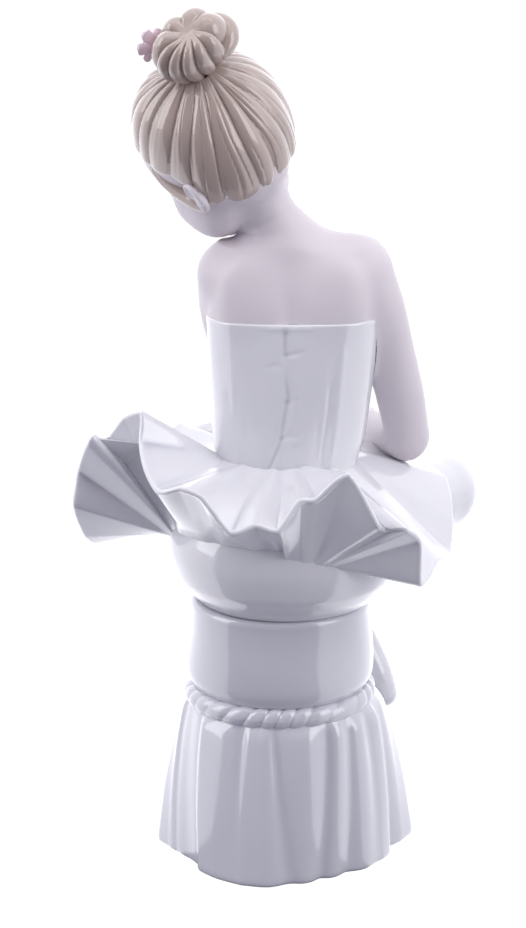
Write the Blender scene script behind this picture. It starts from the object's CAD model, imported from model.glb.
"""Looks of the porcelain ballerina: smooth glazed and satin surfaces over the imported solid.

Lengths are millimetres in the frame's axes: she faces +Y, her right is +X, and the stool stands on
Z = 0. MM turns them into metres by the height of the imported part.
"""

import math

import bpy
import numpy as np
from mathutils import Matrix, Vector


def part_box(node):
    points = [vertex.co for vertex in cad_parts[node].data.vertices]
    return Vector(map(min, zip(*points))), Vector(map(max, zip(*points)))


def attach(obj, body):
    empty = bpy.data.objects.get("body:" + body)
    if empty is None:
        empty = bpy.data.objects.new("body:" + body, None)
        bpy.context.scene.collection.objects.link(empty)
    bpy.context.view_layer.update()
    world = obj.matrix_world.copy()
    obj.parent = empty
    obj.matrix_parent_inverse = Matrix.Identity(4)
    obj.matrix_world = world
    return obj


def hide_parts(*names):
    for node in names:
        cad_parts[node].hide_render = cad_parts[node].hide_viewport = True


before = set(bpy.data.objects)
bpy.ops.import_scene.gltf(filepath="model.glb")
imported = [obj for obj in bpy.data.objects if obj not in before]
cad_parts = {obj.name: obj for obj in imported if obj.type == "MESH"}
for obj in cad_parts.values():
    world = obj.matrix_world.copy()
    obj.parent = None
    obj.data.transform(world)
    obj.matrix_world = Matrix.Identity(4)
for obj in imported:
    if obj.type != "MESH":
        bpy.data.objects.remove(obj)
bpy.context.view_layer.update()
NODE = "ballerina_figurine"
LOW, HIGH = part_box(NODE)
CAD_HEIGHT = 279.67
MM = (HIGH[2] - LOW[2]) / CAD_HEIGHT

STOOL_TOP = 84.0
ROPE_LEVEL = 53.5
HEM_RADIUS = 41.8


def girl(x, y, z):
    """A point of the girl, counted from the middle of the seat's top."""
    return np.array([x, y, STOOL_TOP + z])


def spline(rows, steps):
    """Catmull-Rom points through rows of numbers."""
    rows = np.asarray(rows, float)
    padded = np.vstack([2 * rows[0] - rows[1], rows, 2 * rows[-1] - rows[-2]])
    out = []
    for a, b, c, d in zip(padded, padded[1:], padded[2:], padded[3:]):
        for t in np.arange(steps) / steps:
            square, cube = t * t, t * t * t
            out.append(0.5 * (2 * b + (c - a) * t + (2 * a - 5 * b + 4 * c - d) * square + (3 * b - a - 3 * c + d) * cube))
    out.append(rows[-1])
    return np.array(out)


def bump(x, width):
    """A smooth rise of height 1 at x = 0."""
    return np.exp(-((x / width) ** 2))


def step(x, low, high):
    """0 below low, 1 above high, smooth between."""
    t = np.clip((x - low) / (high - low), 0, 1)
    return t * t * (3 - 2 * t)


# Round forms melted together. A form is a pair of its box and its distance function.


def capsule(a, b, ra, rb):
    """A rounded cone from a to b."""
    a, b = np.asarray(a, float), np.asarray(b, float)
    ba = b - a
    size = max(ba @ ba, 1e-9)

    def distance(p):
        h = np.clip((p - a) @ ba / size, 0, 1)
        return np.linalg.norm(p - a - h[..., None] * ba, axis=-1) - (ra + (rb - ra) * h)

    r = max(ra, rb)
    return np.minimum(a, b) - r, np.maximum(a, b) + r, distance


def ellipsoid(centre, radii, axes=np.eye(3)):
    """An ellipsoid with its axes as the columns of a matrix."""
    centre, radii = np.asarray(centre, float), np.asarray(radii, float)

    def distance(p):
        q = (p - centre) @ axes / radii
        k0 = np.linalg.norm(q, axis=-1)
        k1 = np.linalg.norm(q / radii, axis=-1)
        return k0 * (k0 - 1) / np.maximum(k1, 1e-9)

    reach = np.abs(axes) @ radii
    return centre - reach, centre + reach, distance


def chain(stations, steps=4):
    """Capsules along a limb of (x, y, z, radius) stations."""
    rows = spline(stations, steps)
    return [capsule(a[:3], b[:3], a[3], b[3]) for a, b in zip(rows, rows[1:])]


class Melt:
    """A solid of forms that run into each other by their own blend widths.

    A list of forms, such as the capsules of a limb, counts as one form and has no bumps inside.
    """

    FAR = 25.0

    def __init__(self):
        self.forms = []

    def add(self, form, blend=1.0):
        self.forms.append((form if isinstance(form, list) else [form], blend, 1))

    def cut(self, form, blend=1.0):
        self.forms.append((form if isinstance(form, list) else [form], blend, -1))

    @staticmethod
    def join(a, b, k, sign):
        if sign > 0:
            h = np.clip(0.5 + 0.5 * (b - a) / k, 0, 1)
            return b * (1 - h) + a * h - k * h * (1 - h)
        h = np.clip(0.5 - 0.5 * (b + a) / k, 0, 1)
        return a * (1 - h) - b * h + k * h * (1 - h)

    def at(self, p):
        """The distance at scattered points."""
        value = np.full(p.shape[:-1], self.FAR)
        for group, k, sign in self.forms:
            own = np.full(len(value), self.FAR)
            for lo, hi, distance in group:
                near = np.all((p > lo - 1.5 * k - 3) & (p < hi + 1.5 * k + 3), axis=-1)
                if near.any():
                    own[near] = np.minimum(own[near], distance(p[near]))
            near = own < self.FAR
            value[near] = self.join(value[near], own[near], k, sign)
        return value

    def grid(self, lo, hi, size):
        """The distance on a regular grid."""
        counts = [int(math.ceil((b - a) / size)) + 1 for a, b in zip(lo, hi)]
        axes = [a + size * np.arange(n) for a, n in zip(lo, counts)]
        value = np.full(counts, self.FAR, np.float32)
        for group, k, sign in self.forms:
            own = np.full(counts, self.FAR, np.float32) if len(group) > 1 else None
            for flo, fhi, distance in group:
                cut = []
                for a, low, high in zip(axes, flo - 1.5 * k - 3, fhi + 1.5 * k + 3):
                    cut.append(slice(np.searchsorted(a, low), np.searchsorted(a, high)))
                if all(c.stop > c.start for c in cut):
                    cut = tuple(cut)
                    block = np.stack(np.meshgrid(*[a[c] for a, c in zip(axes, cut)], indexing="ij"), -1)
                    if own is None:
                        value[cut] = self.join(value[cut], distance(block), k, sign)
                    else:
                        own[cut] = np.minimum(own[cut], distance(block))
            if own is not None:
                near = own < self.FAR
                value[near] = self.join(value[near], own[near], k, sign)
        return value


class Graft:
    """One field that turns into another across the neck, so that two meshes meet there exactly."""

    def __init__(self, below, above, always_above):
        self.below, self.above, self.always_above = below, above, always_above

    def share(self, p):
        level = (p - NECK_CUT) @ NECK_AXIS
        away = np.linalg.norm(p - NECK_CUT - level[..., None] * NECK_AXIS, axis=-1)
        on_neck, aside = step(level, -3, 3), step(away, 10.6, 12.4)
        return on_neck * (1 - aside) + (aside if self.always_above else 0)

    def at(self, p):
        share = self.share(p)
        return self.below.at(p) * (1 - share) + self.above.at(p) * share

    def grid(self, lo, hi, size):
        below, above = self.below.grid(lo, hi, size), self.above.grid(lo, hi, size)
        where = np.argwhere(np.minimum(below, above) < 6)
        share = self.share(np.asarray(lo) + where * size)
        out = below.copy()
        pick = tuple(where.T)
        out[pick] = below[pick] * (1 - share) + above[pick] * share
        return out


def skin_of(field, lo, hi, size, settle=2):
    """The surface of a field inside a box: surface nets, then each point moved onto the solid."""
    verts, quads = surface_net(field.grid(lo, hi, size))
    verts = np.asarray(lo) + verts * size
    for _ in range(settle):
        h = 0.15
        f = field.at(verts)
        slope = np.stack([field.at(verts + h * e) - f for e in np.eye(3)], -1) / h
        push = f / np.maximum((slope**2).sum(-1), 0.05)
        verts = verts - slope * np.clip(push, -size, size)[:, None]
    return verts, quads


def surface_net(value):
    """Points and quads of the zero surface of a grid, in grid units."""
    inside = value < 0
    n = np.array(value.shape)
    corners = np.array([(i, j, k) for i in (0, 1) for j in (0, 1) for k in (0, 1)])
    count = sum(inside[i : n[0] - 1 + i, j : n[1] - 1 + j, k : n[2] - 1 + k].astype(np.int8) for i, j, k in corners)
    mixed = (count > 0) & (count < 8)
    index = np.full(mixed.shape, -1, np.int64)
    cells = np.argwhere(mixed)
    index[mixed] = np.arange(len(cells))
    total, hits = np.zeros((len(cells), 3)), np.zeros(len(cells))
    for axis in range(3):
        e = np.eye(3, dtype=int)[axis]
        for c in corners[corners[:, axis] == 0]:
            fa, fb = value[tuple((cells + c).T)], value[tuple((cells + c + e).T)]
            cross = (fa < 0) != (fb < 0)
            t = fa[cross] / (fa[cross] - fb[cross])
            total[cross] += cells[cross] + c + t[:, None] * e
            hits[cross] += 1
    verts = total / hits[:, None]
    quads = []
    for axis in range(3):
        e = np.eye(3, dtype=int)
        u, v = (axis + 1) % 3, (axis + 2) % 3
        low = [slice(1, -1)] * 3
        low[axis] = slice(0, n[axis] - 1)
        high = list(low)
        high[axis] = slice(1, n[axis])
        here, there = inside[tuple(low)], inside[tuple(high)]
        edges = np.argwhere(here != there) + np.where(np.arange(3) == axis, 0, 1)
        out = inside[tuple(edges.T)]
        around = [index[tuple((edges - a * e[u] - b * e[v]).T)] for a, b in ((1, 1), (0, 1), (0, 0), (1, 0))]
        quad = np.stack(around, -1)
        quad[~out] = quad[~out][:, ::-1]
        quads.append(quad)
    return verts, np.concatenate(quads)


def sheet_faces(rows, columns, round_columns=True):
    """Quads over a grid of points, closed round its columns or open."""
    last = columns if round_columns else columns - 1
    i, j = np.meshgrid(np.arange(rows - 1), np.arange(last), indexing="ij")
    k = (j + 1) % columns
    return np.stack([i * columns + j, i * columns + k, (i + 1) * columns + k, (i + 1) * columns + j], -1).reshape(-1, 4)


PIECES = []


def new_piece(name, verts, faces, material, colours=None):
    """A smooth piece of the figurine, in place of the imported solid."""
    mesh = bpy.data.meshes.new(name)
    verts = np.asarray(verts, np.float64) * MM
    faces = np.asarray(faces, np.int32)
    side = faces.shape[1]
    mesh.vertices.add(len(verts))
    mesh.vertices.foreach_set("co", verts.astype(np.float32).ravel())
    mesh.loops.add(faces.size)
    mesh.loops.foreach_set("vertex_index", faces.ravel())
    mesh.polygons.add(len(faces))
    mesh.polygons.foreach_set("loop_start", np.arange(0, faces.size, side, dtype=np.int32))
    mesh.polygons.foreach_set("use_smooth", np.ones(len(faces), bool))
    if colours is not None:
        tint = mesh.color_attributes.new("tint", "FLOAT_COLOR", "POINT")
        tint.data.foreach_set("color", np.hstack([colours, np.ones((len(verts), 1))]).astype(np.float32).ravel())
    mesh.update(calc_edges=True)
    mesh.validate()
    mesh.materials.append(material)
    piece = bpy.data.objects.new(name, mesh)
    bpy.context.scene.collection.objects.link(piece)
    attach(piece, "root")
    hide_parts(NODE)
    PIECES.append(piece)
    return piece


def join_parts(parts):
    """One list of points and one of faces from several."""
    verts, faces, base = [], [], 0
    for v, f in parts:
        verts.append(np.asarray(v, float).reshape(-1, 3))
        faces.append(np.asarray(f) + base)
        base += len(verts[-1])
    return np.vstack(verts), np.vstack(faces)


def hollows(verts, faces, passes=6):
    """How deep each point lies in a groove (above 0) or on a ridge (below 0), about -1 to 1."""
    edges = np.vstack([faces[:, [a, (a + 1) % faces.shape[1]]] for a in range(faces.shape[1])])
    edges = np.vstack([edges, edges[:, ::-1]])
    count = np.bincount(edges[:, 0], minlength=len(verts))[:, None].clip(1)

    def mean(values):
        return np.stack([np.bincount(edges[:, 0], values[edges[:, 1], c], len(verts)) for c in range(values.shape[1])], -1) / count

    tri = verts[faces[:, 1]] - verts[faces[:, 0]], verts[faces[:, 3]] - verts[faces[:, 0]]
    facing = np.cross(*tri)
    normal = np.zeros_like(verts)
    for a in range(faces.shape[1]):
        np.add.at(normal, faces[:, a], facing)
    normal /= np.linalg.norm(normal, axis=1)[:, None].clip(1e-12)
    soft = verts
    for _ in range(passes):
        soft = mean(soft)
    depth = ((soft - verts) * normal).sum(1)[:, None]
    for _ in range(2):
        depth = mean(depth)
    return depth[:, 0]


# Materials.


def shader(name, colour, rough, coat=0.0, flesh=0.0, deep=None, wobble=0.0, wobble_size=70.0, grain=0.0):
    """Glazed or satin porcelain. Deep is its colour in hollows, read from the tint attribute's red."""
    material = bpy.data.materials.new(name)
    material.use_nodes = True
    tree = material.node_tree
    surface = tree.nodes["Principled BSDF"]
    surface.inputs["Roughness"].default_value = rough
    surface.inputs["IOR"].default_value = 1.5
    surface.inputs["Specular IOR Level"].default_value = 0.2 if coat else 0.4
    surface.inputs["Coat Weight"].default_value = coat
    surface.inputs["Coat Roughness"].default_value = 0.035
    surface.inputs["Coat IOR"].default_value = 1.52
    surface.inputs["Subsurface Weight"].default_value = flesh
    surface.inputs["Subsurface Radius"].default_value = (1.0, 0.85, 0.8)
    surface.inputs["Subsurface Scale"].default_value = 0.0015
    place = tree.nodes.new("ShaderNodeTexCoord")
    base = tree.nodes.new("ShaderNodeMix")
    base.data_type = "RGBA"
    mottle = tree.nodes.new("ShaderNodeTexNoise")
    mottle.inputs["Scale"].default_value = 45.0
    mottle.inputs["Detail"].default_value = 3.0
    tree.links.new(place.outputs["Object"], mottle.inputs["Vector"])
    base.inputs[6].default_value = (*colour, 1)
    base.inputs[7].default_value = (*[c * 0.955 for c in colour], 1)
    tree.links.new(mottle.outputs["Fac"], base.inputs[0])
    last = base.outputs[2]
    if deep is not None:
        paint = tree.nodes.new("ShaderNodeAttribute")
        paint.attribute_name = "tint"
        split = tree.nodes.new("ShaderNodeSeparateColor")
        tree.links.new(paint.outputs["Color"], split.inputs["Color"])
        pool = tree.nodes.new("ShaderNodeMix")
        pool.data_type = "RGBA"
        pool.inputs[7].default_value = (*deep, 1)
        tree.links.new(split.outputs[0], pool.inputs[0])
        tree.links.new(last, pool.inputs[6])
        last = pool.outputs[2]
    tree.links.new(last, surface.inputs["Base Color"])
    if wobble or grain:
        waves = tree.nodes.new("ShaderNodeTexNoise")
        waves.inputs["Scale"].default_value = wobble_size
        waves.inputs["Detail"].default_value = 1.0
        tree.links.new(place.outputs["Object"], waves.inputs["Vector"])
        relief = tree.nodes.new("ShaderNodeBump")
        relief.inputs["Strength"].default_value = 1.0
        relief.inputs["Distance"].default_value = wobble
        tree.links.new(waves.outputs["Fac"], relief.inputs["Height"])
        if grain:
            dust = tree.nodes.new("ShaderNodeTexNoise")
            dust.inputs["Scale"].default_value = 1800.0
            fine = tree.nodes.new("ShaderNodeBump")
            fine.inputs["Strength"].default_value = 1.0
            fine.inputs["Distance"].default_value = grain
            tree.links.new(place.outputs["Object"], dust.inputs["Vector"])
            tree.links.new(dust.outputs["Fac"], fine.inputs["Height"])
            tree.links.new(relief.outputs["Normal"], fine.inputs["Normal"])
            relief = fine
        tree.links.new(relief.outputs["Normal"], surface.inputs["Normal"])
    return material


def painted(name, rough, coat, flesh):
    """Porcelain whose colour is painted on it point by point, in the tint attribute."""
    material = shader(name, (0.8, 0.8, 0.8), rough, coat, flesh, None, 0.00004, 60.0, 0.000006)
    tree = material.node_tree
    paint = tree.nodes.new("ShaderNodeAttribute")
    paint.attribute_name = "tint"
    mottle = tree.nodes.new("ShaderNodeMix")
    mottle.data_type = "RGBA"
    mottle.blend_type = "MULTIPLY"
    mottle.inputs[0].default_value = 1.0
    base = next(n for n in tree.nodes if n.bl_idname == "ShaderNodeMix" and n != mottle)
    base.inputs[6].default_value = (1, 1, 1, 1)
    base.inputs[7].default_value = (0.95, 0.94, 0.94, 1)
    tree.links.new(paint.outputs["Color"], mottle.inputs[6])
    tree.links.new(base.outputs[2], mottle.inputs[7])
    tree.links.new(mottle.outputs[2], tree.nodes["Principled BSDF"].inputs["Base Color"])
    return material


WHITE = (0.80, 0.80, 0.84)
WHITE_DEEP = (0.55, 0.54, 0.64)
STOOL_WHITE = (0.66, 0.66, 0.72)
SKIN = np.array([0.79, 0.74, 0.78])
BLUSH = np.array([0.78, 0.50, 0.50])
CREASE = np.array([0.36, 0.24, 0.22])
HAIR = (0.47, 0.375, 0.335)
HAIR_DEEP = (0.24, 0.18, 0.155)
PINK = (0.97, 0.79, 0.88)
PINK_DEEP = (0.93, 0.63, 0.76)
PALE_PINK = (0.92, 0.85, 0.88)

glaze = shader("white_glaze", WHITE, 0.32, 1.0, 0.12, WHITE_DEEP, 0.00022, 55.0)
stool_glaze = shader("stool_glaze", STOOL_WHITE, 0.32, 1.0, 0.05, WHITE_DEEP, 0.00022, 55.0)
skin_paint = painted("skin_bisque", 0.48, 0.0, 0.15)
hair_glaze = shader("hair_glaze", HAIR, 0.34, 1.0, 0.0, HAIR_DEEP, 0.0001, 90.0)
flower_glaze = shader("flower_glaze", PINK, 0.34, 1.0, 0.1, PINK_DEEP, 0.00005, 120.0)
pale_flower_glaze = shader("pale_flower_glaze", PALE_PINK, 0.34, 1.0, 0.1, PINK, 0.00005, 120.0)


# The turn of the head: to her left, forward, and over to her left.
HEAD_CENTRE = girl(-24.0, 6.0, 155.8)
HEAD_TURN, HEAD_NOD, HEAD_TILT = 36.0, 4.0, 29.0
BUN_LIFT, BUN_LEAN, BUN_REACH, BUN_RADIUS = 49.0, 4.0, 33.8, 12.9


def turn_matrix(axis, degrees):
    return np.array(Matrix.Rotation(math.radians(degrees), 3, axis))


HEAD_AXES = turn_matrix("Y", -HEAD_TILT) @ turn_matrix("Z", HEAD_TURN) @ turn_matrix("X", -HEAD_NOD)


def on_head(local):
    """Points of the head, given by right, forward and up from its middle."""
    return HEAD_CENTRE + np.asarray(local, float) @ HEAD_AXES.T


def to_head(points):
    return (points - HEAD_CENTRE) @ HEAD_AXES


def head_ball(centre, radii, tilt=None):
    axes = HEAD_AXES if tilt is None else HEAD_AXES @ tilt
    return ellipsoid(on_head(centre), radii, axes)


# Her body.
TORSO = np.array([
    (20, 0.0, 0.0, 26.0, 20.0), (40, 0.0, -1.0, 22.8, 17.4), (48.5, 0.2, -1.6, 22.4, 16.6), (58.7, 1.3, -1.8, 24.1, 16.6),
    (75.4, 2.0, -1.0, 25.5, 17.2), (93.4, 2.5, 0.6, 26.9, 17.5), (104, 2.6, 1.5, 27.0, 17.0), (112, 2.8, 2.2, 26.2, 15.2),
    (119, 3.0, 2.8, 22.0, 12.0),
])


def torso_ring(z, turn, proud=0.0):
    """Points round her bodice at a height above the seat and a turn from her back."""
    rows = spline(TORSO, 8)
    cx, cy, a, b = (np.interp(z, rows[:, 0], rows[:, c]) for c in (1, 2, 3, 4))
    s, c = np.sin(turn), -np.cos(turn)
    power = 2 / 2.25
    x = cx + (a + proud) * np.sign(s) * np.abs(s) ** power
    y = cy + (b + proud) * np.sign(c) * np.abs(c) ** power
    return np.stack([x, y, STOOL_TOP + z + 0 * x], -1)


def torso_form():
    """The trunk as a form for Melt, from its level sections."""
    rows = spline(TORSO, 8)
    z = STOOL_TOP + rows[:, 0]
    lo, hi = np.array([-32.0, -24.0, z[0]]), np.array([36.0, 26.0, z[-1]])

    def distance(p):
        cx, cy, a, b = (np.interp(p[..., 2], z, rows[:, c]) for c in (1, 2, 3, 4))
        q = (np.abs((p[..., 0] - cx) / a) ** 2.25 + np.abs((p[..., 1] - cy) / b) ** 2.25) ** (1 / 2.25)
        side = (q - 1) * np.minimum(a, b)
        return np.maximum(side, p[..., 2] - z[-1])

    return lo, hi, distance


RIGHT_ARM = [(24.9, 2.6, 111.3, 9.4), (29.8, 3, 99, 8.4), (33.8, 6, 84, 7.8), (37.4, 10, 68, 7.8), (40.2, 14, 53.5, 7.1)]
RIGHT_FOREARM = [(39.8, 15, 51, 7.2), (36, 26, 48.8, 7.0), (30, 39, 48, 5.9), (21, 57, 49.5, 4.2)]
LEFT_ARM = [(-18.2, 4, 109.6, 9.2), (-20, 14, 97, 7.8), (-18, 26, 81, 7.1), (-16, 35, 64, 7.0)]
LEFT_FOREARM = [(-16, 35, 63, 6.9), (-15, 48, 57, 6.4), (-13, 71, 46.8, 4.2)]


def girl_chain(stations, steps=3):
    return chain([(x, y, STOOL_TOP + z, r) for x, y, z, r in stations], steps)


def hand_forms(wrist, knuckles, tips, across):
    """A relaxed hand: palm, four fingers with a bend, and a thumb."""
    side = np.asarray(across, float)
    side = side / np.linalg.norm(side)
    forward = knuckles - wrist
    forms = []
    for share, wide in ((-0.62, 2.7), (-0.2, 3.0), (0.2, 3.0), (0.62, 2.6)):
        forms.append((capsule(wrist + side * share * 2.6, knuckles + side * share * 5.6, wide, wide * 0.82), 1.6))
    for share, long in ((-0.75, 0.9), (-0.25, 1.0), (0.25, 0.97), (0.75, 0.82)):
        root = knuckles + side * share * 5.4
        tip = knuckles + (tips - knuckles) * long + side * share * 4.8
        bend = (root + tip) / 2 + forward * 0.13
        forms.append((chain([(*root, 2.0), (*(root * 0.6 + bend * 0.4), 1.85), (*bend, 1.8), (*tip, 1.35)], 3), 0.4))
    root = wrist + forward * 0.35 - side * 3.4
    tip = knuckles - side * 7.2 + (tips - knuckles) * 0.28
    bend = (root + tip) / 2 - side * 1.6
    forms.append((chain([(*root, 2.6), (*bend, 2.1), (*tip, 1.6)], 4), 1.0))
    return forms


NECK = [(0, 2.5, 118, 11), (-3.5, 3.3, 125, 9.4), (-8, 4.2, 133, 9.0), (-12, 5.2, 141, 9.4), (-15, 6, 148, 10)]


def skin_solid():
    """Shoulders, neck, arms and hands."""
    solid = Melt()
    solid.add(torso_form())
    solid.add(capsule(girl(0, 3, 118.0), girl(21.0, 3, 114.0), 8.6, 7.7), 7.0)
    solid.add(capsule(girl(0, 3, 117.4), girl(-16, 4, 110.6), 8.6, 7.7), 7.0)
    solid.add(girl_chain(NECK), 7.0)
    solid.add(girl_chain(RIGHT_ARM), 4.5)
    solid.add(girl_chain(LEFT_ARM), 4.5)
    for x, y in ((14.5, -9.0), (-10.0, -8.2)):
        solid.add(ellipsoid(girl(x, y, 104), (8.5, 4.0, 12.0), turn_matrix("Y", 12 if x > 0 else -12)), 7.0)
    solid.cut(capsule(girl(2.0, -20.4, 92), girl(0.5, -14.8, 121), 2.0, 1.6), 6.0)
    for x in (13.5, -9.0):
        solid.add(capsule(girl(2.5, 13.2, 112.5), girl(x, 11.0, 115.5), 1.5, 1.4), 3.5)
    solid.add(girl_chain(RIGHT_FOREARM), 2.0)
    solid.add(girl_chain(LEFT_FOREARM), 2.0)
    for form, blend in hand_forms(girl(20.5, 59, 49.5), girl(13, 68, 47.5), girl(3, 75, 41), (6, 8, 0)):
        solid.add(form, blend)
    for form, blend in hand_forms(girl(-13, 72, 46), girl(-13, 81, 41.5), girl(-15, 85, 34), (-9, 1, 0)):
        solid.add(form, blend)
    return solid


def head_solid():
    """Skull, neck and a calm child's face on common proportions."""
    solid = Melt()
    solid.add(head_ball((0, 0, 0), (22.6, 24.6, 23.4)))
    solid.add(head_ball((0, -9, -13), (15.0, 13.0, 14.0)), 5.0)
    solid.add(head_ball((0, 6.2, -13), (17.9, 16.6, 20.5)), 4.0)
    solid.add(head_ball((0, 15.0, -29.5), (7.4, 6.6, 5.6)), 5.0)
    for side in (-1, 1):
        solid.add(head_ball((side * 9.2, 13.6, -18.8), (7.4, 7.6, 7.6)), 4.0)
        solid.add(head_ball((side * 11.0, 5.5, -24.0), (6.6, 9.0, 7.2)), 5.0)
        solid.cut(head_ball((side * 8.6, 27.0, -8.6), (5.0, 4.8, 3.6)), 4.5)
        solid.add(head_ball((side * 8.5, 17.9, -9.2), (4.7, 4.0, 3.6)), 0.9)
        lid = [(*on_head((side * (8.5 + dx), 21.2 - 0.045 * dx * dx, -10.9 + 0.09 * dx * dx)), 0.42) for dx in (-4.2, -2, 0, 2, 4.2)]
        solid.add(chain(lid, 3), 0.7)
    solid.add(chain([(*on_head((0, 22.2, -6)), 1.5), (*on_head((0, 24.0, -12)), 1.6), (*on_head((0, 25.4, -16.2)), 2.1)], 3), 2.6)
    for side in (-1, 1):
        solid.add(head_ball((side * 2.1, 23.4, -16.9), (1.5, 1.7, 1.35)), 1.0)
        solid.cut(head_ball((side * 1.2, 24.6, -18.6), (0.6, 0.9, 0.5)), 0.5)
    solid.cut(chain([(*on_head((0, 24.6, -19.0)), 0.35), (*on_head((0, 24.7, -21.0)), 0.5)], 2), 1.2)
    for side in (-1, 1):
        upper = [(0.0, 23.05, -22.2, 0.95), (1.6, 22.95, -21.9, 1.05), (4.1, 21.7, -22.7, 0.45)]
        lower = [(0.0, 22.7, -24.2, 1.15), (1.8, 22.5, -24.1, 1.05), (3.9, 21.6, -23.1, 0.5)]
        for row in (upper, lower):
            solid.add(chain([(*on_head((side * x, y, z)), r) for x, y, z, r in row], 3), 0.8)
        crease = [(0.0, 24.2, -23.05, 0.22), (2.2, 23.8, -22.9, 0.2), (4.6, 22.3, -22.9, 0.25)]
        solid.cut(chain([(*on_head((side * x, y, z)), r) for x, y, z, r in crease], 3), 0.45)
        lean = turn_matrix("Z", side * 10.0) @ turn_matrix("X", -14.0)
        ear = (side * (20.3 if side < 0 else 17.2), -7.5, -14.0)
        solid.add(head_ball(ear, (2.0, 3.4, 5.0), lean), 1.0)
        rim = [(0.6, 2.4, -1.3), (1.2, 2.8, 2.0), (1.3, 0.7, 4.5), (1.3, -2.4, 3.3), (1.2, -3.1, 0.2), (0.8, -1.9, -3.3)]
        points = [(*on_head(np.array(ear) + (np.array([x * side, y, z]) @ lean.T)), 0.85) for x, y, z in rim]
        solid.add(chain(points, 4), 0.6)
        solid.cut(head_ball((ear[0] + side * 2.2, -6.6, -13.8), (1.4, 1.6, 2.5), lean), 0.9)
        solid.add(head_ball((ear[0] - side * 0.3, -7.0, -18.2), (1.4, 2.0, 1.9)), 1.2)
    solid.add(girl_chain(NECK), 5.0)
    return solid


NECK_CUT = girl(-5.2, 3.6, 128.5)
NECK_AXIS = np.array([-0.46, 0.1, 0.88]) / np.linalg.norm([-0.46, 0.1, 0.88])


def keep_faces(verts, faces, keep):
    """Drops the faces that have a point outside, and the points that no face uses."""
    faces = faces[keep[faces].all(1)]
    used = np.unique(faces)
    place = np.full(len(verts), -1)
    place[used] = np.arange(len(used))
    return verts[used], place[faces]


def eased(verts, faces, share, times):
    """The vertices moved toward the mean of their neighbours, each by its share, a number of times."""
    starts, ends = np.asarray(faces).ravel(), np.roll(faces, -1, axis=1).ravel()
    count = np.bincount(starts, minlength=len(verts)) + np.bincount(ends, minlength=len(verts))
    for _ in range(times):
        sums = [
            np.bincount(starts, verts[ends, k], len(verts)) + np.bincount(ends, verts[starts, k], len(verts))
            for k in range(3)
        ]
        mean = np.stack(sums, -1) / np.maximum(count, 1)[:, None]
        verts = verts + share[:, None] * (mean - verts)
    return verts


def body_skin():
    """Satin skin of the shoulders, back, arms and hands."""
    field = Graft(skin_solid(), head_solid(), False)
    verts, faces = skin_of(field, girl(-33, -24, 30), girl(52, 92, 134), 0.66)
    above = (verts - NECK_CUT) @ NECK_AXIS
    shoulders = step(verts[:, 2], STOOL_TOP + 103, STOOL_TOP + 109) * step(-above, 2.5, 6.5) * step(verts[:, 0], -16, -8)
    verts = eased(verts, faces, 0.6 * shoulders, 40)
    covered = (torso_form()[2](verts) < 0.4) & (verts[:, 2] < STOOL_TOP + 91)
    away = np.linalg.norm(verts - NECK_CUT - above[:, None] * NECK_AXIS, axis=1)
    verts, faces = keep_faces(verts, faces, ((above < 0.7) | (away > 13)) & ~covered)
    depth = hollows(verts, faces, 8)
    pool = 0.35 * step(depth, 0.08, 0.5)[:, None]
    tint = SKIN * (1 - pool) + CREASE * pool
    for point, size in ((girl(42, 14, 46), 6), (girl(-16, 34, 56), 6), (girl(4, 75, 42), 5), (girl(-14, 84, 36), 5)):
        near = 0.22 * bump(np.linalg.norm(verts - point, axis=1), size)[:, None]
        tint = tint * (1 - near) + BLUSH * near
    new_piece("skin_of_back_and_arms", verts, faces, skin_paint, tint)


def head_skin():
    """Satin skin of the head, painted: brows, lashes, lips and blush."""
    field = Graft(skin_solid(), head_solid(), True)
    corners = on_head([(x, y, z) for x in (-27, 27) for y in (-27, 29) for z in (-37, 25)])
    lo, hi = np.minimum(corners.min(0), girl(-30, -6, 126)), corners.max(0)
    verts, faces = skin_of(field, lo, hi, 0.42)
    local = to_head(verts)
    above = (verts - NECK_CUT) @ NECK_AXIS
    axis = bun_frame(BUN_LIFT, BUN_LEAN)[0]
    polar = np.degrees(np.arccos(np.clip(local @ axis / np.linalg.norm(local, axis=1), -1, 1)))
    away = np.linalg.norm(verts - NECK_CUT - above[:, None] * NECK_AXIS, axis=1)
    verts, faces = keep_faces(verts, faces, ((above > -0.7) | ((away > 13) & (verts[:, 0] < 0))) & (polar > 62))
    local = to_head(verts)
    x, y, z = local.T
    front = step(y, 12, 17)
    depth = hollows(verts, faces, 10)
    pool = 0.4 * step(depth, 0.07, 0.4)[:, None]
    tint = SKIN * (1 - pool) + CREASE * 1.5 * pool

    def paint(mask, colour, strength):
        nonlocal tint
        share = (np.clip(mask, 0, 1) * strength)[:, None]
        tint = tint * (1 - share) + np.asarray(colour) * share

    side = np.abs(x)
    paint(front * bump(side - 11.5, 4.6) * bump(z + 18.0, 4.2), BLUSH, 0.42)
    lips = bump(z + 23.0 + 0.03 * side**2 * (z < -23), 1.55) * step(side, 4.9, 3.4) * front
    paint(lips * 1.4, (0.68, 0.30, 0.32), 0.75)
    paint(front * bump(z + 23.05 - 0.012 * side**2, 0.34) * step(side, 4.6, 4.0), (0.35, 0.12, 0.12), 0.6)
    dx = side - 8.5
    lash = -11.0 + 0.085 * dx**2
    paint(front * bump(z - lash, 0.5) * step(np.abs(dx), 4.9, 4.3), (0.10, 0.06, 0.05), 0.9)
    lid = -7.3 - 0.05 * dx**2
    paint(front * bump(z - lid, 0.45) * step(np.abs(dx), 4.6, 3.6), CREASE, 0.35)
    brow = -3.0 - 0.055 * (side - 8.0) ** 2
    paint(front * bump(z - brow, 0.62) * step(np.abs(side - 9.3), 5.6, 4.2), (0.25, 0.16, 0.12), 0.6)
    new_piece("skin_of_head", verts, faces, skin_paint, tint)


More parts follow.
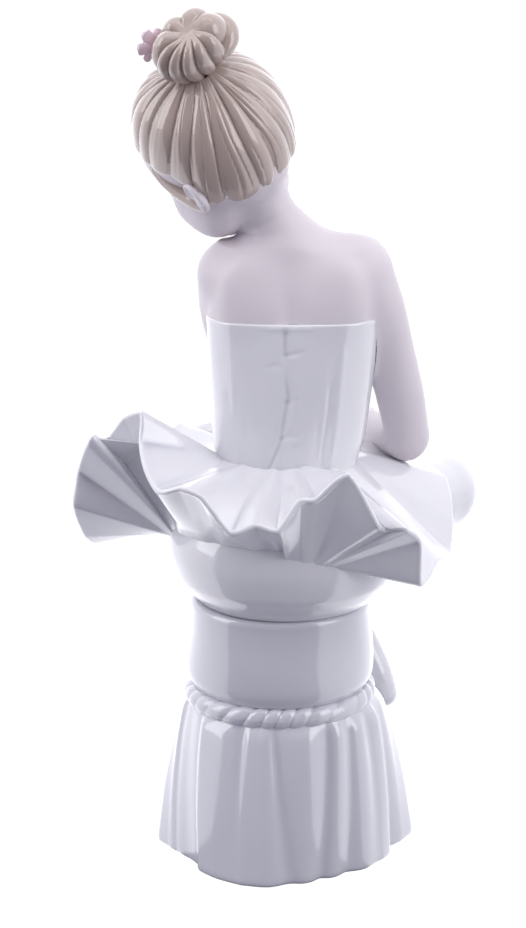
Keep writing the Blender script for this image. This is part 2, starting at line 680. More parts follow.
def bun_frame(lift, lean):
    """A direction on the head, with the two directions across it: to the nape and to her right."""
    b, c = math.radians(lift), math.radians(lean)
    axis = np.array([-math.sin(c), -math.cos(b) * math.cos(c), math.sin(b) * math.cos(c)])
    across = np.array([math.cos(c), -math.cos(b) * math.sin(c), math.sin(b) * math.sin(c)])
    return axis, np.cross(across, axis), across


def lock_shape(turn, edges, power):
    """Height over rounded locks between grooves at the given turns, with each lock's number."""
    edges = np.asarray(edges)
    bent = np.mod(turn - edges[0], 2 * math.pi)
    gaps = np.append(edges - edges[0], 2 * math.pi)
    lock = np.clip(np.searchsorted(gaps, bent, side="right") - 1, 0, len(edges) - 1)
    share = (bent - gaps[lock]) / (gaps[lock + 1] - gaps[lock])
    return np.sin(math.pi * np.clip(share, 0, 1)) ** power, lock


def uneven_turns(count, seed):
    """Turns of grooves round a circle at uneven spacings."""
    gaps = np.random.default_rng(seed).uniform(0.6, 1.5, count)
    return np.cumsum(gaps) / gaps.sum() * 2 * math.pi


# Where the hair ends on the head: (turn from the nape to her right, angle from the bun's axis).
HAIRLINE = np.array([
    (-180, 93), (-130, 92), (-100, 91), (-80, 92), (-62, 95), (-50, 102), (-27, 105.5), (-8, 101.5), (8, 100.5),
    (27, 102.5), (50, 99.5), (68, 97.5), (85, 95.5), (100, 93.5), (130, 92), (180, 93),
])


def head_shell():
    """The head without its ears and features, which the hair lies on."""
    solid = Melt()
    solid.add(head_ball((0, 0, 0), (22.6, 24.6, 23.4)))
    solid.add(head_ball((0, -9, -13), (15.0, 13.0, 14.0)), 5.0)
    solid.add(head_ball((0, 6.2, -13), (17.9, 16.6, 20.5)), 4.0)
    return solid


def shell_reach(d):
    """Distance from the middle of the head to its skin, along directions of the head."""
    shell = head_shell()
    lengths = np.arange(34.0, 14.0, -0.5)
    reach = np.full(d.shape[:-1], 22.0)
    before = np.full(d.shape[:-1], 5.0)
    found = np.zeros(d.shape[:-1], bool)
    for length in lengths:
        here = shell.at(on_head(d * length).reshape(-1, 3)).reshape(d.shape[:-1])
        new = (here < 0) & ~found
        reach[new] = length + 0.5 * (-here[new]) / (before[new] - here[new])
        found |= new
        before = here
    return reach


def bun_directions(turn, polar, lift=BUN_LIFT, lean=BUN_LEAN):
    """Directions of the head by turn about the bun's axis and angle from it."""
    axis, down, across = bun_frame(lift, lean)
    sideways = np.cos(turn)[..., None] * down + np.sin(turn)[..., None] * across
    return np.cos(polar)[..., None] * axis + np.sin(polar)[..., None] * sideways


def hair_cap():
    """Hair combed back to the bun, in rounded locks with grooves between them."""
    around, rows, tucked = 560, 92, 10
    turn, along = np.meshgrid(
        np.linspace(-math.pi, math.pi, around, endpoint=False),
        np.concatenate([np.linspace(0.12, 1.0, rows), np.full(tucked, 1.0)]),
        indexing="xy",
    )
    tuck = np.concatenate([np.zeros(rows), np.linspace(0.08, 1.0, tucked)])[:, None] + 0 * turn
    sway = turn + 0.035 * np.sin(3 * turn + 5 * along) + 0.02 * np.sin(9 * turn - 4 * along)
    broad, lock = lock_shape(sway, uneven_turns(21, 7), 0.62)
    narrow, thin = lock_shape(sway + 0.03 * np.sin(6 * along), uneven_turns(47, 3), 0.8)
    middle = bump(np.degrees(turn) + 15, 55)
    right = bump(np.degrees(turn) - 75, 38)
    fine = (0.12 + 0.4 * middle) * step(np.sin(2.3 * thin + 5 * along), -0.4, 0.6)
    dip = (1.1 - 0.7 * right) * (1 - broad) + fine * 0.7 * (1 - narrow)
    dip = dip * step(along, 0.1, 0.3)
    edge = np.interp(np.degrees(turn), HAIRLINE[:, 0], HAIRLINE[:, 1])
    ragged = 0.2 + 0.8 * bump(np.degrees(turn) + 48, 24)
    edge = edge + ragged * (4.2 * (broad - 0.75) + 1.6 * np.sin(lock * 2.3))
    polar = np.radians(edge * (along - 0.015 * tuck**2))
    d = bun_directions(turn, polar)
    coarse_turn = np.radians(np.arange(-180, 181, 4.0))
    coarse_polar = np.radians(np.arange(6, 124, 4.0))
    skin = shell_reach(bun_directions(*np.meshgrid(coarse_turn, coarse_polar)))
    col = (turn + math.pi) / np.radians(4.0)
    row = np.clip((polar - coarse_polar[0]) / np.radians(4.0), 0, len(coarse_polar) - 1.001)
    i, j = np.floor(row).astype(int), np.clip(np.floor(col).astype(int), 0, len(coarse_turn) - 2)
    a, b = row - i, col - j
    skin = (skin[i, j] * (1 - b) + skin[i, j + 1] * b) * (1 - a) + (skin[i + 1, j] * (1 - b) + skin[i + 1, j + 1] * b) * a
    radii = np.stack([np.where(d[..., 0] > 0, 25.1, 25.9), np.full(turn.shape, 27.3), np.where(d[..., 2] > 0, 25.4, 30.8)], -1)
    full = 1 / np.linalg.norm(d / radii, axis=-1) + 0.5 + 0.5 * bump(np.degrees(turn) - 80, 40) * bump(along - 0.3, 0.3)
    off_nape = step(np.degrees(-turn), 38, 75) + step(np.degrees(turn), 45, 100)
    thin_out = off_nape * step(along, 0.5, 0.98)
    reach = full * (1 - thin_out) + np.maximum(skin + 1.5, full - 4.5) * thin_out
    rounded = 1 - np.sqrt(1 - 0.9 * np.clip((along - 0.94) / 0.06, 0, 1) ** 2)
    reach = reach - dip * (1 - 0.4 * thin_out) - 1.3 * rounded
    reach = reach * (1 - tuck) + (skin - 1.0) * tuck
    verts = on_head(d * reach[..., None]).reshape(-1, 3)
    faces = sheet_faces(rows + tucked, around)[:, ::-1]
    depth = hollows(verts, faces, 10)
    pool = 0.8 * step(depth, -0.04, 0.22)[:, None] * np.ones(3)
    new_piece("combed_hair", verts, faces, hair_glaze, pool)


def side_locks():
    """A short lock in front of each ear."""
    for name, side in (("side_lock_left", -1), ("side_lock_right", 1)):
        solid = Melt()
        for shift, thick in ((0.0, 1.0), (-1.5, 0.85)):
            path = [
                (21.4, 6.2, -1.0, 0.9), (21.2, 5.0, -5.0, 1.5), (21.0, 2.6, -9.0, 1.8), (20.9, -0.4, -12.8, 1.8),
                (20.7, -3.6, -16.0, 1.7), (20.3, -6.2, -18.8, 1.1),
            ]
            inward = 2.4 if side > 0 else 0.0
            solid.add(chain([(*on_head((side * (x - inward), y + shift, z)), r * thick) for x, y, z, r in path], 6), 0.5)
        corners = on_head([(side * x, y, z) for x in (12, 27) for y in (-10, 11) for z in (-24, 4)])
        verts, faces = skin_of(solid, corners.min(0), corners.max(0), 0.4)
        depth = hollows(verts, faces, 6)
        new_piece(name, verts, faces, hair_glaze, step(depth, 0.0, 0.25)[:, None] * np.ones(3))


# Turns of the bun's grooves about its coil, from below to her right.
BUN_GROOVES = np.radians([-150, -100, -72, -46, -20, 6, 38, 112, 165])


def bun():
    """The coiled bun: swollen rolls gathered into a dimple, with an outer roll round its right."""
    axis, down, across = bun_frame(BUN_LIFT, BUN_LEAN)
    seat = axis * (BUN_REACH + 0.2) - down * 1.6 + across * 0.2
    axis, down, across = bun_frame(BUN_LIFT - 9.0, BUN_LEAN + 9.0)
    around, rows = 340, 112
    turn, polar = np.meshgrid(
        np.linspace(-math.pi, math.pi, around, endpoint=False), np.linspace(0.002, math.pi - 0.3, rows), indexing="xy"
    )
    swirl = turn + 0.22 * np.sin(polar * 1.4) - 0.1
    height, lock = lock_shape(swirl, BUN_GROOVES, 0.6)
    half, _ = lock_shape(swirl + 0.08, BUN_GROOVES + 0.3, 0.9)
    late = step(polar, 1.1, 1.6)
    groove = 2.3 * (1 - height) * step(polar, 0.08, 0.5) + 0.35 * (1 - half) * late
    groove = groove * (1 - 0.55 * step(polar, 2.0, 2.7))
    low, wide = 0.84, 1.05 + 0.04 * bump(turn, 0.5)
    out = np.sin(polar) ** 0.85 * (BUN_RADIUS - groove)
    up = np.cos(polar) * BUN_RADIUS * 0.78 - 2.8 * bump(polar, 0.42) - 0.55 * groove * np.cos(polar)
    around_coil = (np.cos(turn) * low)[..., None] * down + (np.sin(turn) * wide)[..., None] * across
    points = seat + out[..., None] * around_coil + up[..., None] * axis
    verts = on_head(points).reshape(-1, 3)
    faces = sheet_faces(rows, around)[:, ::-1]
    depth = hollows(verts, faces, 10)
    new_piece("hair_bun", verts, faces, hair_glaze, 0.7 * step(depth, -0.02, 0.25)[:, None] * np.ones(3))
    roll = []
    for degrees, r in ((22, 1.6), (36, 2.8), (52, 3.8), (69, 4.1), (86, 3.6), (101, 2.7), (115, 1.8), (127, 1.0)):
        a = math.radians(degrees)
        ring = (BUN_RADIUS - 1.6) * (math.cos(a) * 0.84 * down + math.sin(a) * 1.1 * across)
        roll.append((*on_head(seat + ring - axis * 1.4), r))
    solid = Melt()
    solid.add(chain(roll, 6))
    centre = on_head(seat)
    verts, faces = skin_of(solid, centre - 22, centre + 22, 0.45)
    new_piece("outer_roll_of_bun", verts, faces, hair_glaze, np.zeros((len(verts), 3)))


def petal(root, out, up, size, cup):
    """A thick rounded petal that cups upwards, as points and faces."""
    n, m = 14, 12
    side = np.cross(out, up)
    a, r = np.meshgrid(np.linspace(0, 2 * math.pi, 2 * n, endpoint=False), np.linspace(0, 1, m), indexing="xy")
    u, v = np.sin(a) * r, 0.5 - 0.5 * np.cos(a) * r
    wide = size * (0.30 + 0.24 * v) * u
    rise = size * (1.0 * v - 0.1 * u**2)
    lift = size * cup * (v**1.6 + 0.35 * u**2 * v) - 0.10 * size * step(v, 0.8, 1.0)
    half = 0.55 * np.sqrt(np.clip(1 - r**3, 0, 1))
    shape = []
    for side_of in (1, -1):
        p = root + wide[..., None] * side + rise[..., None] * out + (lift + side_of * half)[..., None] * up
        shape.append((p.reshape(-1, 3), sheet_faces(m, 2 * n)[:, ::side_of]))
    return shape


# The blossoms at the bun: (name, place from the middle of the bun, direction it faces, size).
BLOSSOMS = (
    ("flower_left", (-12.6, 5.0, 0.2), (-0.72, 0.6, 0.2), 6.6),
    ("flower_between", (-7.5, 12.0, 1.0), (-0.5, 0.8, 0.45), 6.0),
    ("flower_top", (0.6, 10.2, 5.2), (0.05, 0.8, 0.6), 6.0),
)


def flowers():
    """A short garland round the front of the bun, of thick petalled blossoms."""
    bun_middle = on_head(bun_frame(BUN_LIFT, BUN_LEAN)[0] * BUN_REACH)
    for name, place, facing, size in BLOSSOMS:
        facing = np.array(facing) / np.linalg.norm(facing)
        first = np.cross(facing, [0.3, 0.2, 1.0])
        first /= np.linalg.norm(first)
        second = np.cross(facing, first)
        centre = bun_middle + np.array(place)
        parts = []
        for ring, (count, scale, cup) in enumerate(((5, 1.0, 0.35), (4, 0.72, 0.8), (3, 0.45, 1.3))):
            for i in range(count):
                a = 2 * math.pi * (i + 0.5 * ring) / count
                out = math.cos(a) * first + math.sin(a) * second
                parts += petal(centre + facing * 0.5 * ring + out * 0.5, out, facing, size * scale * 0.8, cup)
        verts, faces = join_parts(parts)
        inner = bump(np.linalg.norm(verts - centre, axis=1), size * 0.4)
        paler = 0.0 if name == "flower_left" else 1.0
        pool = 0.7 * inner[:, None] * np.ones(3)
        new_piece(name, verts, faces, flower_glaze if paler == 0 else pale_flower_glaze, pool)


def bodice():
    """The strapless bodice with its two princess seams and its rolled top edge."""
    around, rows = 380, 150
    turn, share = np.meshgrid(np.linspace(-math.pi, math.pi, around, endpoint=False), np.linspace(0, 1, rows), indexing="xy")
    front = step(-np.cos(turn), 0.2, 1.0)
    top = 96.4 + 1.0 * np.cos(turn) * (1 - front) + 3.2 * front * bump(np.abs(np.sin(turn)) - 0.45, 0.4)
    z = 40 + (top - 40) * share
    x = torso_ring(z, turn)[..., 0]
    back = step(np.cos(turn), 0.05, 0.35)
    hem = step(share, 1.0, 0.965)
    proud = 0.65 + 0.2 * bump(share - 0.985, 0.014)
    for line, depth in (
        ([(38, -7.5), (50, -5.5), (60, -1.6), (75, 0.9), (85, -0.2), (101, 0.0)], 0.42),
        ([(38, 9.0), (50, 11.2), (70, 13.6), (86, 15.0), (101, 15.6)], 0.32),
    ):
        line = np.array(line)
        away = x - np.interp(z, line[:, 0], line[:, 1])
        proud = proud - depth * bump(away, 1.25) * back * hem + 0.22 * bump(away - 2.6, 1.6) * back
    for at, start, size in ((88, 2.0, 0.28), (85.5, -2.5, 0.2), (61.5, 1.5, 0.34), (58, 3.0, 0.2), (73, 1.5, 0.16)):
        proud = proud - size * bump(z - at - 0.22 * x, 0.8) * bump(x - start, 3.2) * back
    pinch = step(share, 0.22, 0.0)
    proud = proud + 0.25 * pinch * np.sin(turn * 26 + 2 * np.sin(turn * 5))
    verts = torso_ring(z, turn, proud)
    body = skin_solid()
    gap = body.at(verts.reshape(-1, 3)).reshape(turn.shape)
    push = np.clip(0.5 - gap, 0, 1.5) * step(share, 0.6, 0.8) * step(np.abs(np.sin(turn)), 0.95, 0.8)
    outward = verts - np.array([2.4, 0.5, 0.0])
    outward[..., 2] = 0
    outward /= np.linalg.norm(outward, axis=-1)[..., None]
    verts = verts + push[..., None] * outward
    lip = verts[-1:] - outward[-1:] * 1.4 + np.array([0, 0, 0.1])
    crown = verts[-1:] - outward[-1:] * 0.5 + np.array([0, 0, 0.45])
    verts = np.concatenate([verts, crown, lip]).reshape(-1, 3)
    faces = sheet_faces(rows + 2, around)
    depth = hollows(verts, faces, 8)
    new_piece("bodice", verts, faces, glaze, step(depth, 0.02, 0.2)[:, None] * np.ones(3))


# The tutu's rim, from the back to her right and round: (turn of its pleat at the waist, turn of its
# pleat under the net, turn, reach and height of its rim point).
TUTU_RIM = [
    (0, 0, -3, 50.0, 40.3), (7, 7, 5, 47.2, 49.4), (11, 11, 12, 46.6, 49.6), (14, 13, 22, 52.0, 58.5),
    (27, 14, 33, 53.0, 41.0), (33, 15, 38, 51.0, 37.5), (38, 17, 41.5, 57.4, 38.5), (44, 20, 48, 57.5, 33.0),
    (50, 24, 52, 55.0, 17.0), (64, 40, 68, 53.0, 20.0), (78, 66, 82, 54.0, 18.5), (90, 88, 92, 55.0, 27.0),
    (103, 104, 108, 56.0, 37.0), (115, 117, 120, 52.0, 39.5), (131, 132, 133, 42.0, 46.0), (150, 150, 152, 44.0, 40.0),
    (166, 166, 166, 40.0, 45.0), (180, 180, 180, 43.0, 40.5), (196, 196, 196, 41.0, 45.5), (210, 210, 210, 47.0, 40.0),
    (225, 224, 224, 50.0, 50.0), (242, 239, 240, 56.0, 40.0), (254, 252, 254, 58.0, 30.0), (260, 264, 261, 62.5, 17.2),
    (264, 270, 270, 65.6, 22.6), (268, 276, 279, 69.3, 36.5), (271, 279, 278, 67.5, 47.5), (275, 281, 287, 64.6, 62.0),
    (279, 282.5, 276, 58.0, 57.5), (282, 284, 281, 52.6, 66.0), (286, 285, 292, 49.5, 70.0), (297, 289, 296, 51.3, 61.0),
    (309, 300, 316, 58.0, 51.0), (319, 315, 325, 57.5, 53.5), (329, 327, 332, 56.3, 51.5), (340, 339, 341, 53.9, 40.0),
    (349, 350, 349, 50.6, 42.0),
]
NET_THICKNESS = 1.9
CRISP = 0.45


def tutu(fine=14):
    """The ruffled net skirt: pleats from the waist to a waved rim, rounded there, and back under."""
    once = np.array([360, 360, 360, 0, 0])
    rows = [np.array(row, float) for row in TUTU_RIM]
    wrapped = [rows[-1] - once] + rows + [rows[0] + once, rows[1] + once]
    bends = spline(wrapped, fine)[fine : fine * (len(rows) + 1)]
    share = np.arange(len(bends)) / fine + 1
    straight = np.stack([np.interp(share, np.arange(len(wrapped)), column) for column in np.array(wrapped).T], -1)
    w, u, turn, reach, high = (bends * (1 - CRISP) + straight * CRISP).T
    w, u, turn = np.radians(w), np.radians(u), np.radians(turn)
    waist = np.stack([21.2 * np.sin(w), -2 - 14.6 * np.cos(w), STOOL_TOP + 51.6 + 0 * w], -1)
    sag = bump(np.degrees(u) - 20, 24)
    wide = 1 + 0.04 * sag
    left_sag = bump(np.degrees(u) - 274, 13)
    level = STOOL_TOP + 25.5 + 3 * np.cos(u) - 6 * sag - 3.2 * left_sag
    under = np.stack([36 * wide * np.sin(u), 1 - 35 * wide * np.cos(u), level], -1)
    rim = np.stack([reach * np.sin(turn), -reach * np.cos(turn), STOOL_TOP + high], -1)
    along = np.roll(rim, -1, axis=0) - np.roll(rim, 1, axis=0)
    out = rim - (waist + under) / 2
    out /= np.linalg.norm(out, axis=1)[:, None]
    face = np.cross(out, along)
    face /= np.linalg.norm(face, axis=1)[:, None]
    half = NET_THICKNESS / 2
    behind = bump((np.degrees(w) + 195) % 360 - 180, 38)
    pleat = (behind * np.sin(26 * w + 1.5 * np.sin(3 * w)))[:, None] * face
    rings = []
    for share in np.linspace(0, 1, 30)[:-1]:
        top = rim + face * half - out * half
        rings.append(waist + (top - waist) * share + 0.35 * pleat * bump(share - 0.25, 0.3))
    for a in np.linspace(0, math.pi, 11):
        rings.append(rim - out * half + face * half * math.cos(a) + out * half * math.sin(a))
    for share in np.linspace(1, 0, 30)[1:]:
        low = rim - face * half - out * half
        rings.append(under + (low - under) * share + 0.5 * pleat * bump(share - 0.2, 0.25))
    verts = np.array(rings).reshape(-1, 3)
    faces = sheet_faces(len(rings), len(w))[:, ::-1]
    depth = hollows(verts, faces, 6)
    new_piece("tutu", verts, faces, glaze, step(depth, 0.02, 0.25)[:, None] * np.ones(3))


def turned(levels, around, swell=None, steps=8):
    """Rings about the stool's axis through (radius, height) levels, from the top down."""
    rows = spline(levels, steps)
    turn = np.linspace(0, 2 * math.pi, around, endpoint=False)[None, :]
    r, z = rows[:, :1], rows[:, 1:2]
    if swell is not None:
        r = r + swell(turn, z)
    return np.stack([r * np.sin(turn), -r * np.cos(turn), z + 0 * turn], -1)


def put_turned(name, points, limit=(0.02, 0.2), material=glaze):
    verts = points.reshape(-1, 3)
    faces = sheet_faces(points.shape[0], points.shape[1])[:, ::-1]
    depth = hollows(verts, faces, 8)
    new_piece(name, verts, faces, material, step(depth, *limit)[:, None] * np.ones(3))


def petticoat():
    """The full underskirt that she sits in."""
    levels = [(20, 130), (28, 124), (36.0, 114), (38.5, 105), (36.8, 96.5), (34.4, 92.5), (31.0, 88.5), (27.6, 85.8), (20, 84)]
    points = turned(levels, 300, lambda turn, z: 0.25 * np.sin(5 * turn + 0.05 * z) * step(z, 86, 92))
    points[..., 1] = points[..., 1] * 0.98 + 1.0
    put_turned("petticoat", points)


SEAT_SHIFT = 1.5


def stool_seat():
    """The padded drum, soft at its edges."""
    levels = [(15, 85.0), (24, 85.8), (28.0, 86.2), (29.3, 85.0), (29.4, 82), (29.8, 76), (30.7, 68), (30.9, 62), (29.9, 58.5), (28.2, 56.6), (24, 55.5)]
    points = turned(levels, 300, lambda turn, z: 0.35 * np.sin(3 * turn + 0.12 * z) * bump(z - 70, 12))
    points[..., 0] -= SEAT_SHIFT
    put_turned("stool_seat", points, material=stool_glaze)


# The stool's cloth. Its hem: (turn from the back, radius on the table).
HEM = np.array([
    (-180, 41.5), (-150, 40.0), (-125, 41.8), (-105, 42.4), (-92, 42.6), (-83, 41.8), (-76, 39.6), (-69, 38.2), (-54, 37.4),
    (-49, 37.6), (-44, 39.8), (-34, 41.3), (-20, 42.7), (-7, 41.5), (5, 39.2), (21, 37.4), (34, 36.4), (44, 37.4), (58, 38.2),
    (65, 37.8), (70, 36.0), (75, 36.4), (82, 39.4), (92, 42.8), (110, 41.0), (125, 42.4), (145, 40.4), (162, 42.0),
    (180, 41.5),
])
# How its gathers lean: the turns of some of them at the rope and at the hem.
GATHERS_ABOVE = np.array([-180, -90, -57, -24, -4, 27, 69.5, 110, 180])
GATHERS_BELOW = np.array([-180, -70, -46.5, -21, 5, 19, 67.5, 105, 180])
# Its folds: (turn at the hem, width, height at the rope and at the hem, side of a sharp edge). A minus
# is a groove, and an edge drops on the side of its sign.
SKIRT_FOLDS = [
    (-88, 8, 1.2, 0.6, 0), (-70, 9, 1.6, 0.6, 1), (-59, 6, -0.8, -0.8, 0), (-46.5, 10, 1.4, 0.9, -1),
    (-33, 6, 0.4, 0.2, 0), (-22.5, 3.2, -1.4, 0.0, 0), (-9, 6.5, 1.0, 0.9, 0), (1.5, 4.0, -1.2, -0.9, 0),
    (10, 5.0, 0.9, 0.9, 0), (18.3, 3.2, -1.5, -1.2, 0), (26, 5.0, 0.9, 0.9, 0), (35, 4.0, -0.8, -0.5, 0),
    (44, 7, 0.8, 1.0, 0), (54, 4.5, -1.1, -0.2, 0), (67.5, 10, 1.4, 0.9, 1), (80, 5, 0.6, 0.3, 0),
    (97, 8, 0.8, 0.6, 0), (112, 6, -1.0, -0.8, 0), (126, 8, 0.9, 0.8, 0), (141, 5, -1.0, -0.7, 0),
    (157, 8, 0.8, 0.7, 0), (173, 5, -1.0, -0.8, 0), (-171, 8, 0.8, 0.7, 0), (-156, 5, -1.0, -0.7, 0),
    (-139, 8, 0.9, 0.7, 0), (-121, 6, -1.0, -0.8, 0), (-105, 8, 0.7, 0.6, 0),
]


def stool_skirt():
    """The gathered cloth under the rope, down to its hem on the table."""
    levels = [(26.5, 55.2), (28.0, 54.6), (30.6, 51.5), (33.0, 47), (36.0, 36), (39.2, 20), (41.1, 7), (41.8, 1.4), (41.0, 0.0)]

    def swell(turn, z):
        share = 1 - np.clip(z / ROPE_LEVEL, 0, 1)
        degrees = (np.degrees(turn) + 180) % 360 - 180
        lean = [np.interp(degrees[0], GATHERS_ABOVE * (1 - t) + GATHERS_BELOW * t, GATHERS_BELOW) for t in share[:, 0]]
        lean = np.array(lean)
        total = (np.interp(lean, *HEM.T) - HEM_RADIUS) * share**0.8
        for at, width, above, below, edge in SKIRT_FOLDS:
            away = (lean - at + 180) % 360 - 180
            fold = bump(away, width)
            if edge:
                fold = fold * step(-edge * away, -2.2, 2.2)
            total = total + 0.8 * fold * (above * (1 - share) + below * share) * step(share, 0.0, 0.12)
        return total

    points = turned(levels, 600, swell, 10)
    middle = points[-1:] * 0.02
    middle[..., 2] = 0.0
    put_turned("stool_skirt", np.concatenate([points, middle]), (0.03, 0.3), stool_glaze)


def stool_rope():
    """The thick twisted rope between the seat and the skirt."""
    around, sides, twists = 720, 32, 14
    turn, a = np.meshgrid(
        np.linspace(0, 2 * math.pi, around, endpoint=False), np.linspace(0, 2 * math.pi, sides, endpoint=False), indexing="xy"
    )
    uneven = 0.10 * np.sin(2 * turn + 0.6) + 0.07 * np.sin(5 * turn)
    phase = twists * (turn + uneven) - a
    ridge = np.abs(np.sin(phase)) ** 0.55
    deep = 0.62 + 0.25 * np.sin(3 * turn + 2.0)
    r = 3.5 - deep * (1 - ridge)
    ring = 28.3 + r * np.cos(a)
    z = ROPE_LEVEL + 1.08 * r * np.sin(a)
    points = np.stack([ring * np.sin(turn), -ring * np.cos(turn), z], -1)
    points = np.concatenate([points, points[:1]])
    points[..., 0] -= SEAT_SHIFT
    put_turned("stool_rope", points[::-1], (0.0, 0.25), stool_glaze)


def from_floor(x, y, share, r):
    return (x, y, STOOL_TOP * (share - 1), r)


RIGHT_LEG = [(12, 0, 18, 16), (27, 22, 19.5, 15.4), (41, 43, 20, 14.0), (53, 60, 19, 13.6)]
RIGHT_SHIN = [(53, 61, 19, 12.6), (36, 68, 24, 10.6), (14, 73, 31, 8.0), (-8, 75, 36, 5.4)]
RIGHT_FOOT = [(-7, 75, 36, 5.6), (-18, 76, 35, 6.2), (-30, 78, 32, 5.2), (-41, 79, 28, 3.2)]
LEFT_LEG = [(-12, 0, 18, 16), (-14, 26, 19.5, 14.6), (-15, 50, 19.5, 13.0), (-14.5, 70, 18, 12.2)]
LEFT_SHIN = [(-14, 72, 16, 11.6), from_floor(-1, 74, 1.02, 9.8), from_floor(13, 71, 0.82, 7.2), from_floor(24, 67, 0.63, 5.4)]
LEFT_FOOT = [from_floor(23.5, 67, 0.64, 5.5), from_floor(28, 65.5, 0.52, 6.4), from_floor(32.5, 63.5, 0.41, 6.0), from_floor(35.8, 62, 0.325, 4.6)]


def legs():
    """Thighs, knees, shins and feet in white tights."""
    solid = Melt()
    for stations, blend in ((RIGHT_LEG, 1.0), (RIGHT_SHIN, 3.0), (RIGHT_FOOT, 1.5)):
        solid.add(girl_chain(stations), blend)
    verts, faces = skin_of(solid, girl(-48, -18, -4), girl(70, 90, 44), 1.0)
    other = Melt()
    for stations, blend in ((LEFT_LEG, 1.0), (LEFT_SHIN, 3.0), (LEFT_FOOT, 1.5)):
        other.add(girl_chain(stations), blend)
    verts2, faces2 = skin_of(other, girl(-32, -18, -68), girl(46, 90, 40), 1.0)
    verts, faces = join_parts([(verts, faces), (verts2, faces2)])
    depth = hollows(verts, faces, 8)
    new_piece("legs_in_tights", verts, faces, glaze, step(depth, 0.02, 0.2)[:, None] * np.ones(3))


body_skin()
head_skin()
hair_cap()
side_locks()
bun()
flowers()
bodice()
tutu()
petticoat()
stool_seat()
stool_rope()
stool_skirt()
legs()


# The stage.
TARGET = Vector((-0.0071, 0.0, 0.131))
CAMERA_DISTANCE = 1.0
CAMERA_ELEVATION = 17.0
FOCAL_PIXELS = 3081.0
LONG_SIDE_PIXELS = 928.0


def camera():
    data = bpy.data.cameras.new("camera")
    data.sensor_width = 36.0
    data.lens = FOCAL_PIXELS * data.sensor_width / LONG_SIDE_PIXELS
    eye = bpy.data.objects.new("camera", data)
    bpy.context.scene.collection.objects.link(eye)
    e = math.radians(CAMERA_ELEVATION)
    back = Vector((0, -math.cos(e), math.sin(e)))
    eye.location = TARGET + back * CAMERA_DISTANCE
    eye.rotation_mode = "QUATERNION"
    eye.rotation_quaternion = (-back).to_track_quat("-Z", "Y")
    bpy.context.scene.camera = eye


def panel(name, place, width, height, radiance):
    """A soft light panel that faces the figurine."""
    data = bpy.data.lights.new(name, "AREA")
    data.shape = "RECTANGLE"
    data.size, data.size_y = width, height
    data.energy = radiance * math.pi * width * height
    light = bpy.data.objects.new(name, data)
    bpy.context.scene.collection.objects.link(light)
    light.location = place
    light.rotation_mode = "QUATERNION"
    light.rotation_quaternion = (Vector((0, 0, 0.14)) - Vector(place)).to_track_quat("-Z", "Y")


def multiply_add(tree, value, factor, addend):
    node = tree.nodes.new("ShaderNodeMath")
    node.operation = "MULTIPLY_ADD"
    tree.links.new(value, node.inputs[0])
    node.inputs[1].default_value = factor
    node.inputs[2].default_value = addend
    node.use_clamp = True
    return node.outputs[0]


def beside_the_camera(tree, place):
    """1 to the left and right of the photographer's side and 0 in its middle, with a soft edge."""
    split = tree.nodes.new("ShaderNodeSeparateXYZ")
    tree.links.new(place, split.inputs["Vector"])
    ahead = multiply_add(tree, split.outputs["Y"], -1.0, 0.0)
    tree.nodes[-1].use_clamp = False
    turn = tree.nodes.new("ShaderNodeMath")
    turn.operation = "ARCTAN2"
    tree.links.new(split.outputs["X"], turn.inputs[0])
    tree.links.new(ahead, turn.inputs[1])
    right = multiply_add(tree, turn.outputs[0], 1 / EDGE_SOFTNESS, -DARK_TO_RIGHT / EDGE_SOFTNESS)
    left = multiply_add(tree, turn.outputs[0], -1 / EDGE_SOFTNESS, -DARK_TO_LEFT / EDGE_SOFTNESS)
    either = tree.nodes.new("ShaderNodeMath")
    either.operation = "MAXIMUM"
    tree.links.new(left, either.inputs[0])
    tree.links.new(right, either.inputs[1])
    return either.outputs[0]


# The dark middle of the photographer's side, in radians to the left and right, and the light that
# the glaze mirrors from both.
DARK_TO_LEFT = math.radians(64)
DARK_TO_RIGHT = math.radians(46)
EDGE_SOFTNESS = math.radians(4)
DARK_SIDE = (0.10, 0.10, 0.14, 1)
LIGHT_SIDE = (1.7, 1.7, 1.8, 1)


def mirrored(tree, place):
    """The colour that the glaze mirrors in a direction."""
    mix = tree.nodes.new("ShaderNodeMix")
    mix.data_type = "RGBA"
    mix.inputs[6].default_value = DARK_SIDE
    mix.inputs[7].default_value = LIGHT_SIDE
    tree.links.new(beside_the_camera(tree, place), mix.inputs[0])
    return mix.outputs[2]


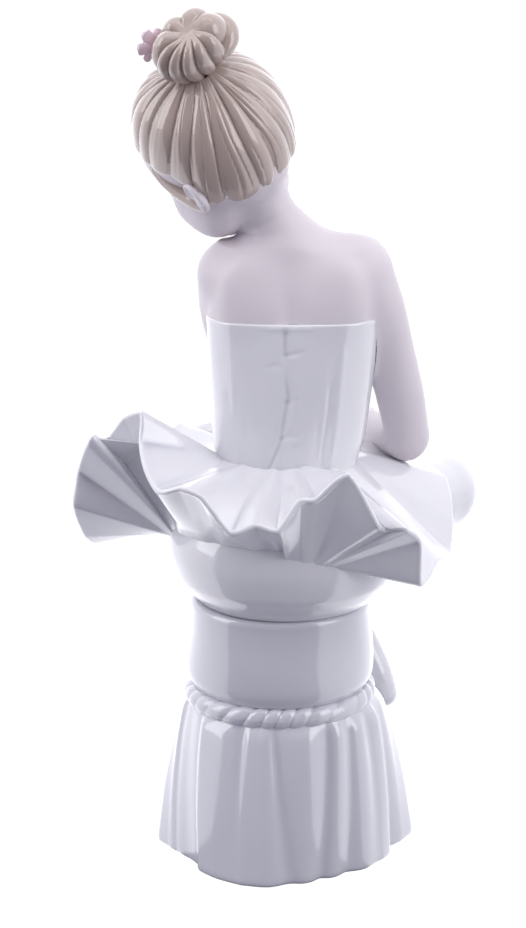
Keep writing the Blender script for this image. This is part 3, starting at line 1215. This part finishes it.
def floor():
    """A plain pale floor, wide enough to fill every view. It looks evenly white and lights softly."""
    n = 96
    turn = np.linspace(0, 2 * math.pi, n, endpoint=False)
    mesh = bpy.data.meshes.new("floor")
    mesh.from_pydata([(9 * math.cos(a), 9 * math.sin(a), 0.0) for a in turn], [], [list(range(n))])
    material = bpy.data.materials.new("floor")
    material.use_nodes = True
    tree = material.node_tree
    surface = tree.nodes["Principled BSDF"]
    surface.inputs["Base Color"].default_value = (0.33, 0.33, 0.37, 1)
    surface.inputs["Roughness"].default_value = 0.9
    surface.inputs["Specular IOR Level"].default_value = 0.0
    rays = tree.nodes.new("ShaderNodeLightPath")
    place = tree.nodes.new("ShaderNodeTexCoord")
    sides = tree.nodes.new("ShaderNodeEmission")
    tree.links.new(mirrored(tree, place.outputs["Object"]), sides.inputs["Color"])
    glow = tree.nodes.new("ShaderNodeEmission")
    glow.inputs["Strength"].default_value = 1.2
    last = surface.outputs[0]
    for ray, share, shown in (("Is Glossy Ray", 1.0, sides), ("Is Camera Ray", 0.86, glow)):
        pick = tree.nodes.new("ShaderNodeMixShader")
        tree.links.new(multiply_add(tree, rays.outputs[ray], share, 0.0), pick.inputs[0])
        tree.links.new(last, pick.inputs[1])
        tree.links.new(shown.outputs[0], pick.inputs[2])
        last = pick.outputs[0]
    tree.links.new(last, tree.nodes["Material Output"].inputs["Surface"])
    mesh.materials.append(material)
    plane = bpy.data.objects.new("floor", mesh)
    bpy.context.scene.collection.objects.link(plane)


def surroundings():
    """White behind the figurine and dim lavender on the side of the photograph's camera."""
    world = bpy.data.worlds.new("surroundings")
    bpy.context.scene.world = world
    world.use_nodes = True
    tree = world.node_tree
    back = tree.nodes["Background"]
    place = tree.nodes.new("ShaderNodeTexCoord")
    split = tree.nodes.new("ShaderNodeSeparateXYZ")
    ramp = tree.nodes.new("ShaderNodeMapRange")
    ramp.inputs["From Min"].default_value = -1.0
    ramp.inputs["From Max"].default_value = 0.3
    shade = tree.nodes.new("ShaderNodeValToRGB")
    shade.color_ramp.elements[0].color = (0.27, 0.26, 0.31, 1)
    shade.color_ramp.elements[1].color = (0.63, 0.63, 0.68, 1)
    middle = shade.color_ramp.elements.new(0.55)
    middle.color = (0.42, 0.41, 0.47, 1)
    tree.links.new(place.outputs["Generated"], split.inputs["Vector"])
    tree.links.new(split.outputs["Y"], ramp.inputs["Value"])
    tree.links.new(ramp.outputs["Result"], shade.inputs["Fac"])
    rays = tree.nodes.new("ShaderNodeLightPath")
    last = shade.outputs["Color"]
    white = tree.nodes.new("ShaderNodeRGB")
    white.outputs[0].default_value = (1, 1, 1, 1)
    for ray, shown in (("Is Glossy Ray", mirrored(tree, place.outputs["Generated"])), ("Is Camera Ray", white.outputs[0])):
        pick = tree.nodes.new("ShaderNodeMix")
        pick.data_type = "RGBA"
        tree.links.new(rays.outputs[ray], pick.inputs[0])
        tree.links.new(last, pick.inputs[6])
        tree.links.new(shown, pick.inputs[7])
        last = pick.outputs[2]
    tree.links.new(last, back.inputs["Color"])
    back.inputs["Strength"].default_value = 1.1


camera()
floor()
surroundings()
panel("left_panel", (-1.25, -0.20, 0.75), 0.70, 1.2, 3.1)
panel("right_panel", (1.15, -0.60, 0.75), 0.70, 1.2, 3.0)
panel("top_panel", (0.0, -0.35, 1.5), 1.2, 1.0, 1.5)
bpy.context.scene.view_settings.view_transform = "Standard"
